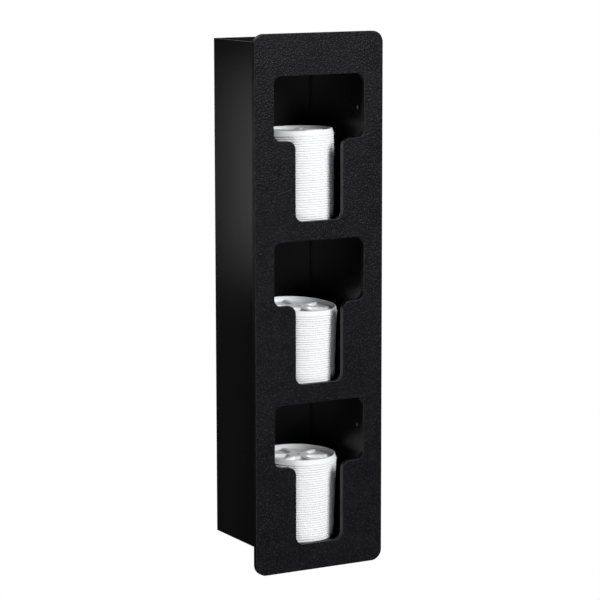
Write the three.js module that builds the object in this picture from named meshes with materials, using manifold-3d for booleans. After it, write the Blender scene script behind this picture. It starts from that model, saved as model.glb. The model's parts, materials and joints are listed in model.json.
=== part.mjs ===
// A built-in cup lid dispenser: a thick faceplate with three T-shaped apertures, a folded-sheet housing
// behind it with four panels that make three compartments, and a stack of nested cup lids in each one.
// Lengths are millimetres. X runs to the right, Y into the cabinet and Z up. The origin is the middle of
// the lower edge of the cabinet's cut-out, in the plane of the cabinet's face.

import * as THREE from 'three';
import { mergeVertices } from 'three/addons/utils/BufferGeometryUtils.js';
import Module from 'manifold-3d';

const wasm = await Module();
wasm.setup();

// Housing sheet
const SHEET = 3.2;
const HOUSING_WIDTH = 127;
const HOUSING_DEPTH = 123.65;
const FOLD_RADIUS = 1.5;
const INNER_FOLD_RADIUS = 0.5;
const PANEL_CORNER_CLEARANCE = 0.3;

// Faceplate
const PLATE_THICKNESS = 6.35;
const FLANGE_SIDE = 17.5;
const FLANGE_TOP = 10.3;
const FLANGE_BOTTOM = 23.8;
const PLATE_CORNER_RADIUS = 12.7;

// Apertures: a wide window over a narrower finger slot
const COMPARTMENTS = 3;
const WINDOW_MARGIN = 3.3;
const WINDOW_HEIGHT = 71.6;
const SLOT_WIDTH = 60;
const SLOT_HEIGHT = 89.7;
const SLOT_SILL = 3.3;
const APERTURE_GAP = 21.4;
const APERTURE_RADIUS = 9.5;
const TOP_ALLOWANCE = 17.6;

// Screw holes through the side walls
const HOLE_RADIUS = 2.1;
const HOLE_SETBACK = 13.5;
const LOWER_HOLE_RISE = 132;
const UPPER_HOLE_DROP = 75.4;

// Lid: thin formed sheet with a beaded skirt, a raised rim and a recessed panel with ribs round a hub
const LID_PLAY = 16.2;
const LID_HEIGHT = 6.5;
const LID_SHEET = 0.4;
const LID_DRAFT = THREE.MathUtils.degToRad(15.1);
const NEST_CLEARANCE = 0.3;
const BEAD_HEIGHT = 1.3;
const BEAD_STEP = 0.55;
const RIM_WIDTH = 1.3;
const RECESS_DEPTH = 4.6;
const RIB_COUNT = 6;
const RIB_HEIGHT = 2.2;
const RIB_FOOT_WIDTH = 8;
const RIB_END_MARGIN = 6;
const RIB_DRAFT = THREE.MathUtils.degToRad(26.6);
const HUB_RADIUS = 13;

// Where a stack stands: its distance behind the faceplate and the gap to the shelf that carries it
const LID_SETBACK = 8.8;
const SEAT_GAP = 0.3;

// Stacks, from the lowest compartment up: how many lids, how far round their ribs are turned, how far to
// the right the stack stands, how much further its top lid has crept, and the top lid's slopes.
const STACKS = [
  { name: 'lower', lids: 34, turn: -30, standShare: 0.027, creepShare: 0.068, slopeX: -0.01, slopeY: 0.02 },
  { name: 'middle', lids: 30, turn: -32, standShare: 0.073, creepShare: 0.013, slopeX: -0.025, slopeY: 0.06 },
  { name: 'upper', lids: 36, turn: -8, standShare: 0.038, creepShare: 0.021, slopeX: 0.01, slopeY: -0.02 },
];

// Facets
const CORNER_FACETS = 3;
const HOLE_FACETS = 16;

// Worked out from the sizes above
const SHELF_PITCH = SLOT_HEIGHT + WINDOW_HEIGHT + APERTURE_GAP;
const HOUSING_HEIGHT = COMPARTMENTS * SHELF_PITCH + SHEET + TOP_ALLOWANCE;
const INNER_WIDTH = HOUSING_WIDTH - 2 * SHEET;
const INNER_DEPTH = HOUSING_DEPTH - SHEET;
const PLATE_WIDTH = HOUSING_WIDTH + 2 * FLANGE_SIDE;
const WINDOW_WIDTH = INNER_WIDTH - 2 * WINDOW_MARGIN;
const LID_RADIUS = Math.min(INNER_WIDTH, INNER_DEPTH) / 2 - LID_PLAY;
const NEST_PITCH = (LID_SHEET + NEST_CLEARANCE) / Math.sin(LID_DRAFT);

const blackTextured = { color: 0x232326, roughness: 0.62, metalness: 0 };
const blackSmooth = { color: 0x18181a, roughness: 0.38, metalness: 0 };
const whiteLid = { color: 0xf2f3f6, roughness: 0.35, metalness: 0 };

const dispenser = new THREE.Group();

function addPiece(name, geometry, finish) {
  const mesh = new THREE.Mesh(geometry, new THREE.MeshStandardMaterial(finish));
  mesh.name = name;
  dispenser.add(mesh);
  return mesh;
}

// Boolean cutting of closed meshes
function toSolid(geometry) {
  const bare = geometry.clone();
  bare.deleteAttribute('normal');
  bare.deleteAttribute('uv');
  const merged = mergeVertices(bare);
  const vertProperties = Float32Array.from(merged.attributes.position.array);
  const triVerts = Uint32Array.from(merged.index.array);
  return new wasm.Manifold(new wasm.Mesh({ numProp: 3, vertProperties, triVerts }));
}

function toGeometry(solid) {
  const mesh = solid.getMesh();
  const geometry = new THREE.BufferGeometry();
  geometry.setAttribute('position', new THREE.BufferAttribute(mesh.vertProperties, mesh.numProp));
  geometry.setIndex(new THREE.BufferAttribute(mesh.triVerts, 1));
  geometry.computeVertexNormals();
  return geometry;
}

function cut(geometry, tools) {
  const solid = tools.reduce((body, tool) => body.subtract(toSolid(tool)), toSolid(geometry));
  return toGeometry(solid);
}

// Height of the top of a compartment's floor
function floorTop(index) {
  return SHEET + index * SHELF_PITCH;
}

// A rectangle with round corners, as a shape in the plane of the faceplate
function roundedRectangle(left, bottom, right, top, radius) {
  const shape = new THREE.Shape();
  shape.moveTo(left + radius, bottom);
  shape.lineTo(right - radius, bottom);
  shape.absarc(right - radius, bottom + radius, radius, -Math.PI / 2, 0, false);
  shape.lineTo(right, top - radius);
  shape.absarc(right - radius, top - radius, radius, 0, Math.PI / 2, false);
  shape.lineTo(left + radius, top);
  shape.absarc(left + radius, top - radius, radius, Math.PI / 2, Math.PI, false);
  shape.lineTo(left, bottom + radius);
  shape.absarc(left + radius, bottom + radius, radius, Math.PI, 1.5 * Math.PI, false);
  return shape;
}

// One aperture: the slot's round foot, the two round shoulders and the window above them
function aperture(index) {
  const slot = SLOT_WIDTH / 2;
  const window = WINDOW_WIDTH / 2;
  const sill = floorTop(index) + SLOT_SILL;
  const shoulder = sill + SLOT_HEIGHT;
  const head = shoulder + WINDOW_HEIGHT;
  const step = window - slot;
  const radius = Math.min(APERTURE_RADIUS, step / 2);
  const path = new THREE.Path();
  path.moveTo(-slot + radius, sill);
  path.lineTo(slot - radius, sill);
  path.absarc(slot - radius, sill + radius, radius, -Math.PI / 2, 0, false);
  path.lineTo(slot, shoulder - radius);
  path.absarc(slot + radius, shoulder - radius, radius, Math.PI, Math.PI / 2, true);
  path.lineTo(window - radius, shoulder);
  path.absarc(window - radius, shoulder + radius, radius, -Math.PI / 2, 0, false);
  path.lineTo(window, head - radius);
  path.absarc(window - radius, head - radius, radius, 0, Math.PI / 2, false);
  path.lineTo(-window + radius, head);
  path.absarc(-window + radius, head - radius, radius, Math.PI / 2, Math.PI, false);
  path.lineTo(-window, shoulder + radius);
  path.absarc(-window + radius, shoulder + radius, radius, Math.PI, 1.5 * Math.PI, false);
  path.lineTo(-slot - radius, shoulder);
  path.absarc(-slot - radius, shoulder - radius, radius, Math.PI / 2, 0, true);
  path.lineTo(-slot, sill + radius);
  path.absarc(-slot + radius, sill + radius, radius, Math.PI, 1.5 * Math.PI, false);
  return path;
}

// The outline of the housing seen from the front, which is also the outline of the cabinet's cut-out
function traceHousing(path) {
  const half = HOUSING_WIDTH / 2;
  path.moveTo(-half, 0);
  path.lineTo(half, 0);
  path.lineTo(half, HOUSING_HEIGHT);
  path.lineTo(-half, HOUSING_HEIGHT);
  path.closePath();
  return path;
}

// The faceplate is drawn as the flange that covers the cabinet's face and the part in front of the housing,
// so that the faces at its back end where the cabinet ends. The two are joined into one sheet.
function makeFaceplate() {
  const half = PLATE_WIDTH / 2;
  const top = HOUSING_HEIGHT + FLANGE_TOP;
  const flange = roundedRectangle(-half, -FLANGE_BOTTOM, half, top, PLATE_CORNER_RADIUS);
  flange.holes.push(traceHousing(new THREE.Path()));
  const front = traceHousing(new THREE.Shape());
  for (let index = 0; index < COMPARTMENTS; index += 1) {
    front.holes.push(aperture(index));
  }
  const settings = { depth: PLATE_THICKNESS, bevelEnabled: false, curveSegments: CORNER_FACETS };
  const [flangeSolid, frontSolid] = [flange, front].map((outline) => {
    return toSolid(new THREE.ExtrudeGeometry(outline, settings));
  });
  // The outline's height turns up to Z and its depth runs forward from the cabinet's face.
  return toGeometry(flangeSolid.add(frontSolid)).rotateX(Math.PI / 2);
}

// The sheet folded into a U: left wall, back and right wall. It is grooved inside before it is folded, so
// the two back edges are crisp.
function makeHousingWrap() {
  const outer = HOUSING_WIDTH / 2;
  const inner = INNER_WIDTH / 2;
  const outerTurn = outer - FOLD_RADIUS;
  const outerDepth = HOUSING_DEPTH - FOLD_RADIUS;
  const innerTurn = inner - INNER_FOLD_RADIUS;
  const innerDepth = INNER_DEPTH - INNER_FOLD_RADIUS;
  const plan = new THREE.Shape();
  plan.moveTo(outer, 0);
  plan.lineTo(outer, outerDepth);
  plan.absarc(outerTurn, outerDepth, FOLD_RADIUS, 0, Math.PI / 2, false);
  plan.lineTo(-outerTurn, HOUSING_DEPTH);
  plan.absarc(-outerTurn, outerDepth, FOLD_RADIUS, Math.PI / 2, Math.PI, false);
  plan.lineTo(-outer, 0);
  plan.lineTo(-inner, 0);
  plan.lineTo(-inner, innerDepth);
  plan.absarc(-innerTurn, innerDepth, INNER_FOLD_RADIUS, Math.PI, Math.PI / 2, true);
  plan.lineTo(innerTurn, INNER_DEPTH);
  plan.absarc(innerTurn, innerDepth, INNER_FOLD_RADIUS, Math.PI / 2, 0, true);
  plan.lineTo(inner, 0);
  const settings = { depth: HOUSING_HEIGHT, bevelEnabled: false, curveSegments: CORNER_FACETS };
  const wrap = new THREE.ExtrudeGeometry(plan, settings);
  const drills = [LOWER_HOLE_RISE, HOUSING_HEIGHT - UPPER_HOLE_DROP].map((height) => {
    // One drill passes through both side walls.
    const length = HOUSING_WIDTH + 2 * SHEET;
    const drill = new THREE.CylinderGeometry(HOLE_RADIUS, HOLE_RADIUS, length, HOLE_FACETS);
    return drill.rotateZ(Math.PI / 2).translate(0, HOLE_SETBACK, height);
  });
  return cut(wrap, drills);
}

// A panel that fits between the walls and against the faceplate, its back corners eased to pass the folds
function makePanel(bottom) {
  const half = INNER_WIDTH / 2;
  const ease = INNER_FOLD_RADIUS + PANEL_CORNER_CLEARANCE;
  const plan = new THREE.Shape();
  plan.moveTo(-half, 0);
  plan.lineTo(half, 0);
  plan.lineTo(half, INNER_DEPTH - ease);
  plan.absarc(half - ease, INNER_DEPTH - ease, ease, 0, Math.PI / 2, false);
  plan.lineTo(-half + ease, INNER_DEPTH);
  plan.absarc(-half + ease, INNER_DEPTH - ease, ease, Math.PI / 2, Math.PI, false);
  const settings = { depth: SHEET, bevelEnabled: false, curveSegments: CORNER_FACETS };
  return new THREE.ExtrudeGeometry(plan, settings).translate(0, 0, bottom);
}

// Sideways distance between a corner of the lid's outside and the same corner inside its sheet
function mitre(draft) {
  return (LID_SHEET * (1 - Math.sin(draft))) / Math.cos(draft);
}

// The lid's outside, from the foot of its skirt up over the rim and in to the foot of the recess
const skirtFoot = { radius: LID_RADIUS - BEAD_STEP, height: BEAD_HEIGHT + BEAD_STEP / 2 };
const rimOuter = {
  radius: skirtFoot.radius - (LID_HEIGHT - skirtFoot.height) * Math.tan(LID_DRAFT),
  height: LID_HEIGHT,
};
const rimInner = { radius: rimOuter.radius - RIM_WIDTH, height: LID_HEIGHT };
const recessFoot = {
  radius: rimInner.radius - RECESS_DEPTH * Math.tan(LID_DRAFT),
  height: LID_HEIGHT - RECESS_DEPTH,
};
const ribRun = RIB_HEIGHT * Math.tan(RIB_DRAFT);
const ribEnd = recessFoot.radius - RIB_END_MARGIN;
const crestHeight = recessFoot.height + RIB_HEIGHT;

// A ring of stations, four in each rib's sector. On a plain ring they are evenly spread. On a ring that
// crosses the ribs the outer two lie on the rib's feet and the inner two on its crest.
function plainRing(radius, height) {
  const stations = RIB_COUNT * 4;
  return Array.from({ length: stations }, (_, index) => {
    const angle = ((index - 1.5) / stations) * 2 * Math.PI;
    return [radius * Math.cos(angle), radius * Math.sin(angle), height];
  });
}

function ribbedRing(radius, webHeight, ribHeight, inset) {
  const foot = RIB_FOOT_WIDTH / 2 - inset;
  const crest = foot - ribRun;
  const ring = [];
  for (let rib = 0; rib < RIB_COUNT; rib += 1) {
    const middle = (rib / RIB_COUNT) * 2 * Math.PI;
    const section = [[-foot, webHeight], [-crest, ribHeight], [crest, ribHeight], [foot, webHeight]];
    for (const [offset, height] of section) {
      const angle = middle + Math.asin(offset / radius);
      ring.push([radius * Math.cos(angle), radius * Math.sin(angle), height]);
    }
  }
  return ring;
}

// Rings of the lid's upper side, from the top of its bead to its hub, for a lid whose foot is at base
function upperRings(base) {
  return [
    plainRing(LID_RADIUS, base + BEAD_HEIGHT),
    plainRing(skirtFoot.radius, base + skirtFoot.height),
    plainRing(rimOuter.radius, base + rimOuter.height),
    plainRing(rimInner.radius, base + rimInner.height),
    plainRing(recessFoot.radius, base + recessFoot.height),
    ribbedRing(ribEnd, base + recessFoot.height, base + recessFoot.height, 0),
    ribbedRing(ribEnd - ribRun, base + recessFoot.height, base + crestHeight, 0),
    ribbedRing(HUB_RADIUS + ribRun, base + recessFoot.height, base + crestHeight, 0),
    ribbedRing(HUB_RADIUS, base + crestHeight, base + crestHeight, 0),
  ];
}

// Rings of the lid's underside, from the hub out and down to the inner edge of its foot
function underRings(base) {
  const inset = mitre(RIB_DRAFT);
  const web = base + recessFoot.height - LID_SHEET;
  const crest = base + crestHeight - LID_SHEET;
  const shoulder = base + LID_HEIGHT - LID_SHEET;
  const outerFoot = skirtFoot.radius + skirtFoot.height * Math.tan(LID_DRAFT);
  const innerFoot = outerFoot - LID_SHEET / Math.cos(LID_DRAFT);
  return [
    ribbedRing(HUB_RADIUS - inset, crest, crest, inset),
    ribbedRing(HUB_RADIUS + ribRun - inset, web, crest, inset),
    ribbedRing(ribEnd - ribRun - inset, web, crest, inset),
    ribbedRing(ribEnd - inset, web, web, inset),
    plainRing(recessFoot.radius + mitre(LID_DRAFT), web),
    plainRing(rimInner.radius + mitre(LID_DRAFT), shoulder),
    plainRing(rimOuter.radius - mitre(LID_DRAFT), shoulder),
    plainRing(innerFoot, base),
  ];
}

// The ridge and the valley that each lid shows on the side of a stack
function sideRings(base) {
  return [
    plainRing(LID_RADIUS, base + BEAD_HEIGHT / 2),
    plainRing(LID_RADIUS - BEAD_STEP, base + (BEAD_HEIGHT + NEST_PITCH) / 2),
  ];
}

// The outside of nested lids first to last, counted from the shelf, as one closed skin of rings
function nestRings(first, last) {
  const rings = underRings(first * NEST_PITCH);
  rings.push(plainRing(LID_RADIUS, first * NEST_PITCH));
  for (let lid = first; lid < last; lid += 1) {
    rings.push(...sideRings(lid * NEST_PITCH));
  }
  rings.push(...upperRings(last * NEST_PITCH));
  return rings;
}

// A nested stack settles unevenly: the slope of its lids grows evenly from the shelf to the top lid, so
// its axis follows a parabola away from the raised side, and its lids creep to the right by their play.
function settle([x, y, z], stack) {
  const height = (stack.lids - 1) * NEST_PITCH;
  const share = z / height;
  const aside = (stack.standShare + stack.creepShare * share) * LID_RADIUS;
  return [
    x + aside - (stack.slopeX * share * z) / 2,
    y - (stack.slopeY * share * z) / 2,
    z + (x * stack.slopeX + y * stack.slopeY) * share,
  ];
}

// A closed skin through rings of equal length, with a point at each end
function skin(rings, stack) {
  const stations = rings[0].length;
  const turn = THREE.MathUtils.degToRad(stack.turn);
  const points = [[0, 0, rings[0][0][2]], ...rings.flat(), [0, 0, rings.at(-1)[0][2]]];
  const position = points.flatMap(([x, y, z]) => {
    const turned = [x * Math.cos(turn) - y * Math.sin(turn), x * Math.sin(turn) + y * Math.cos(turn), z];
    return settle(turned, stack);
  });
  const last = points.length - 1;
  const index = [];
  for (let station = 0; station < stations; station += 1) {
    const next = (station + 1) % stations;
    index.push(0, 1 + next, 1 + station);
    for (let ring = 0; ring < rings.length - 1; ring += 1) {
      const low = 1 + ring * stations;
      const high = low + stations;
      index.push(low + station, low + next, high + next);
      index.push(low + station, high + next, high + station);
    }
    index.push(last - stations + station, last - stations + next, last);
  }
  const geometry = new THREE.BufferGeometry();
  geometry.setAttribute('position', new THREE.Float32BufferAttribute(position, 3));
  geometry.setIndex(index);
  geometry.computeVertexNormals();
  return geometry;
}

addPiece('faceplate', makeFaceplate(), blackTextured);
addPiece('housing_wrap', makeHousingWrap(), blackSmooth);
addPiece('bottom_panel', makePanel(0), blackSmooth);
addPiece('lower_shelf', makePanel(floorTop(1) - SHEET), blackSmooth);
addPiece('upper_shelf', makePanel(floorTop(2) - SHEET), blackSmooth);
addPiece('top_panel', makePanel(HOUSING_HEIGHT - SHEET), blackSmooth);

STACKS.forEach((stack, index) => {
  const nested = skin(nestRings(0, stack.lids - 2), stack);
  const top = skin(nestRings(stack.lids - 1, stack.lids - 1), stack);
  for (const [name, geometry] of [[`${stack.name}_lid_stack`, nested], [`${stack.name}_top_lid`, top]]) {
    const piece = addPiece(name, geometry, whiteLid);
    piece.position.set(0, LID_SETBACK + LID_RADIUS, floorTop(index) + SEAT_GAP);
  }
});

export default dispenser;
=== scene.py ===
"""Looks of a cup lid dispenser that is built into an upright cabinet face.

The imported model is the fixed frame. Every sheet and every lid is worked out again here as a finer surface
in the same place, with eased edges, smooth round corners and pressed ribs, and gets a procedural finish.
Lengths are metres. X runs to the right, Y into the cabinet and Z up.
"""

import json
import logging
import math
from collections.abc import Callable, Sequence
from dataclasses import dataclass, field
from enum import Enum

import bpy
import numpy as np
from mathutils import Matrix, Vector
from mathutils.geometry import tessellate_polygon

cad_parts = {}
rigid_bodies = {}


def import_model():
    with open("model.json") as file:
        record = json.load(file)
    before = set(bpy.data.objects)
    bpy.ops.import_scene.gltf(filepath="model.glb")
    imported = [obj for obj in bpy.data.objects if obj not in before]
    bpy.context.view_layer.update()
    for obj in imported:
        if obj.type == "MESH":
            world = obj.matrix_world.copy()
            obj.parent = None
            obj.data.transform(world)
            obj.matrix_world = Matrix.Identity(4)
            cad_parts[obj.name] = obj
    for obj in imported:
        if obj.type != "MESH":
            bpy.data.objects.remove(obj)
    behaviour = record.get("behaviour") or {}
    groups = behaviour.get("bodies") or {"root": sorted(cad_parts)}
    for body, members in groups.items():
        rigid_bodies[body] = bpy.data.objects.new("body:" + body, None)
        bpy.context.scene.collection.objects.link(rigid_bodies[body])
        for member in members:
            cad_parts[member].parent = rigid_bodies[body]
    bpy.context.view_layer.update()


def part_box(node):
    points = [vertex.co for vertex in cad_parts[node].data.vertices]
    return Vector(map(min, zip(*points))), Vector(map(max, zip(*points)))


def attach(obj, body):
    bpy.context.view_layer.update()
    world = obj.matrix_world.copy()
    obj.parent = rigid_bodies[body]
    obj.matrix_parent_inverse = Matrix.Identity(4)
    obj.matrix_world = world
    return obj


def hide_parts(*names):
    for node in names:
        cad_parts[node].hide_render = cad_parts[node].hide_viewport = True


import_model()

MM = 0.001
LARGE_FACES_ONLY = 100  # the Weighted Normal modifier's highest weight
POINT_DECIMALS = 15  # how many decimals of a metre a point keeps
Color = tuple[float, float, float, float]
Place = tuple[float, float, float]
WHITE: Color = (1.0, 1.0, 1.0, 1.0)
log = logging.getLogger("lid_dispenser")


class Slot(Enum):
    """The record's material slots."""

    PLATE = "textured_plate"
    HOUSING = "smooth_housing"
    LID = "lid_plastic"


class Level(Enum):
    """The compartments, from the lowest up. Each value is its place in that order."""

    LOWER = 0
    MIDDLE = 1
    UPPER = 2

    @property
    def label(self) -> str:
        """Returns the compartment's name as the frame's nodes and bodies spell it."""
        return self.name.lower()


@dataclass(frozen=True)
class Corner:
    """A corner of an outline: where its straight sides would meet, and the radius that rounds it."""

    u: float
    v: float
    radius: float


@dataclass(frozen=True)
class Outline:
    """Points along a rounded outline, each with the normal that points out of the material."""

    points: np.ndarray
    normals: np.ndarray

    def inset(self, distance: float) -> np.ndarray:
        """Returns the points after each has moved into the material by a distance."""
        return self.points - distance * self.normals


def round_outline(corners: Sequence[Corner], steps: int) -> Outline:
    """Rounds the corners of a closed outline that keeps the material on its left.

    On the arc of a corner the heading turns evenly from the side before it to the side after it. A point
    is the arc's centre plus the radius times the heading's right-hand normal, or minus it on a right turn.

    Args:
        corners: The corners in walking order.
        steps: How many straight pieces stand for each arc.

    Returns:
        The outline, with steps + 1 points for each corner.
    """
    place = np.array([(corner.u, corner.v) for corner in corners])
    radius = np.array([corner.radius for corner in corners])
    arriving = place - np.roll(place, 1, axis=0)
    leaving = np.roll(place, -1, axis=0) - place
    start = np.arctan2(arriving[:, 1], arriving[:, 0])
    turn = np.arctan2(leaving[:, 1], leaving[:, 0]) - start
    turn = (turn + math.pi) % (2 * math.pi) - math.pi
    lead = radius * np.tan(np.abs(turn) / 2)
    signed = radius * np.sign(turn)
    ahead = np.stack([np.cos(start), np.sin(start)], axis=1)
    left = np.stack([-ahead[:, 1], ahead[:, 0]], axis=1)
    centre = place - ahead * lead[:, None] + left * signed[:, None]
    heading = start[:, None] + turn[:, None] * np.linspace(0, 1, steps + 1)
    normals = np.stack([np.sin(heading), -np.cos(heading)], axis=2)
    points = centre[:, None] + signed[:, None, None] * normals
    return Outline(points.reshape(-1, 2), normals.reshape(-1, 2))


def round_path(corners: Sequence[Corner], steps: int) -> np.ndarray:
    """Rounds the corners of an open path, whose first and last corner stay plain points.

    Args:
        corners: The corners in walking order.
        steps: How many straight pieces stand for each arc.

    Returns:
        The path's points as rows of (u, v), with no two alike.
    """
    points = round_outline(corners, steps).points.reshape(len(corners), steps + 1, 2)
    return np.vstack([points[0, :1], points[1:-1].reshape(-1, 2), points[-1, :1]])


def ring_quads(rows: int, stations: int) -> np.ndarray:
    """Returns the quads between neighbouring rows of a grid whose stations close into a ring.

    Args:
        rows: How many rows the grid has.
        stations: How many points each row has.

    Returns:
        The quads, which count through the grid row by row.
    """
    row, station = np.meshgrid(np.arange(rows - 1), np.arange(stations), indexing="ij")
    low = row * stations + station
    low_next = row * stations + (station + 1) % stations
    return np.stack([low, low + stations, low_next + stations, low_next], axis=2).reshape(-1, 4)


@dataclass
class Surface:
    """Points and faces gathered from several grids until they become one mesh."""

    points: list[np.ndarray] = field(default_factory=list)
    faces: list[np.ndarray] = field(default_factory=list)
    finishes: list[np.ndarray] = field(default_factory=list)
    count: int = 0

    def add(self, points: np.ndarray, faces: Sequence[np.ndarray], finish: int = 0) -> int:
        """Adds points and the faces between them.

        Args:
            points: Rows of (x, y, z).
            faces: Arrays of triangles or quads that count from the first of these points.
            finish: The place of the faces' material among the piece's materials.

        Returns:
            The number of the first added point in the whole surface.
        """
        first = self.count
        self.points.append(points)
        self.count += len(points)
        self.join([part + first for part in faces], finish)
        return first

    def join(self, faces: Sequence[np.ndarray], finish: int = 0) -> None:
        """Adds faces between points that are already here, numbered in the whole surface.

        Args:
            faces: Arrays of triangles or quads.
            finish: The place of the faces' material among the piece's materials.
        """
        for part in faces:
            self.faces.append(part)
            self.finishes.append(np.full(len(part), finish))

    def to_object(self, name: str, materials: Sequence[bpy.types.Material]) -> bpy.types.Object:
        """Makes a smooth-shaded mesh object at the origin.

        The points are rounded far below any size here, because the last digit of a sine may change from
        run to run. Adding 0 to them turns a negative zero into zero.

        Args:
            name: The piece's name.
            materials: The piece's materials, in the order that the faces' finishes count.

        Returns:
            The new object, linked to the scene.
        """
        corners = np.concatenate([part.ravel() for part in self.faces])
        sides = np.concatenate([np.full(len(part), part.shape[1]) for part in self.faces])
        mesh = bpy.data.meshes.new(name)
        mesh.vertices.add(self.count)
        points = np.round(np.concatenate(self.points), POINT_DECIMALS) + 0.0
        mesh.vertices.foreach_set("co", points.astype(np.float32).ravel())
        mesh.loops.add(len(corners))
        mesh.loops.foreach_set("vertex_index", corners.astype(np.int32))
        mesh.polygons.add(len(sides))
        mesh.polygons.foreach_set("loop_start", (np.cumsum(sides) - sides).astype(np.int32))
        mesh.polygons.foreach_set("material_index", np.concatenate(self.finishes).astype(np.int32))
        mesh.polygons.foreach_set("use_smooth", np.ones(len(sides), bool))
        mesh.update(calc_edges=True)
        mesh.validate()
        for material in materials:
            mesh.materials.append(material)
        piece = bpy.data.objects.new(name, mesh)
        bpy.context.scene.collection.objects.link(piece)
        return piece


@dataclass(frozen=True)
class DrawingPlane:
    """Where a sheet's outline lies: a corner of the plane, and the directions of the drawing's u and v."""

    origin: Place
    along_u: Place
    along_v: Place

    def place(self, flat: np.ndarray, depth: float) -> np.ndarray:
        """Returns drawn points in space, sunk by a depth behind the plane's front.

        A point is the origin plus u and v times their directions, less the depth times the front's normal.

        Args:
            flat: Rows of (u, v).
            depth: How far they are sunk.

        Returns:
            Rows of (x, y, z).
        """
        along_u, along_v = np.array(self.along_u), np.array(self.along_v)
        front = np.cross(along_u, along_v)
        return np.array(self.origin) + flat[:, :1] * along_u + flat[:, 1:] * along_v - depth * front


@dataclass(frozen=True)
class EasedEdge:
    """The edge of a sheet: straight across its thickness, with a quarter circle at each side."""

    thickness: float
    ease: float
    steps: int = 4

    def rows(self) -> np.ndarray:
        """Works out the edge's profile.

        At the angle a the inset is the ease times 1 - sin a and the depth is the ease times 1 - cos a.
        The far side mirrors the near one.

        Returns:
            Rows of (inset, depth), from the front face round to the back face.
        """
        angle = np.linspace(0, math.pi / 2, self.steps + 1)
        near = self.ease * np.stack([1 - np.sin(angle), 1 - np.cos(angle)], axis=1)
        far = near[::-1] * [1, -1] + [0, self.thickness]
        return np.vstack([near, far])


def triangles_inside(loops: Sequence[np.ndarray]) -> np.ndarray:
    """Fills an outline and its holes with triangles that turn to the left.

    Args:
        loops: Rows of (u, v) for the outline and each hole.

    Returns:
        Triangles that count through the points of all loops in order.
    """
    raised = [[Vector((u, v, 0)) for u, v in loop] for loop in loops]
    faces = np.array(tessellate_polygon(raised))
    corners = np.concatenate(loops)[faces]
    side_a, side_b = corners[:, 1] - corners[:, 0], corners[:, 2] - corners[:, 0]
    backwards = side_a[:, 0] * side_b[:, 1] < side_a[:, 1] * side_b[:, 0]
    faces[backwards] = faces[backwards][:, ::-1]
    return faces


def cut_sheet(
    outlines: Sequence[Outline], plane: DrawingPlane, edge: EasedEdge, edge_finish: int = 0
) -> Surface:
    """Makes a sheet from its outline and the outlines of its holes.

    The edge's profile is carried along every outline: each of its rows is the outline moved inwards by
    the row's inset and sunk by its depth. The first and the last row bound the two faces.

    Args:
        outlines: The outline and the holes, each with the material on its left.
        plane: Where the sheet's front face lies.
        edge: The profile of its edges.
        edge_finish: The place of the edges' material among the piece's materials.

    Returns:
        The closed surface of the sheet.
    """
    surface = Surface()
    rows = edge.rows()
    fronts, backs = [], []
    for outline in outlines:
        grid = np.concatenate([plane.place(outline.inset(inset), depth) for inset, depth in rows])
        stations = len(outline.points)
        first = surface.add(grid, [ring_quads(len(rows), stations)], edge_finish)
        fronts.append(first + np.arange(stations))
        backs.append(fronts[-1] + (len(rows) - 1) * stations)
    faces = triangles_inside([outline.inset(edge.ease) for outline in outlines])
    surface.join([np.concatenate(fronts)[faces], np.concatenate(backs)[faces][:, ::-1]])
    return surface


def even_shading(piece: bpy.types.Object) -> None:
    """Lets a piece's large faces set the shading at its edges, so that flat sheet looks flat.

    Args:
        piece: The piece, which gets a modifier.
    """
    weighted = piece.modifiers.new("even_shading", "WEIGHTED_NORMAL")
    weighted.mode = "FACE_AREA"
    weighted.weight = LARGE_FACES_ONLY


def settle_in(piece: bpy.types.Object, body: str, slot: Slot, *nodes: str) -> None:
    """Hangs a finished piece on its body and lets it stand for CAD nodes, which it hides.

    Args:
        piece: The finished piece.
        body: The body that it moves with.
        slot: The record's slot that its finish belongs to. It is not used.
        nodes: The CAD nodes that it replaces.
    """
    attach(piece, body)
    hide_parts(*nodes)
    log.info("%s rides on %s, %d faces", piece.name, body, len(piece.data.polygons))


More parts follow.
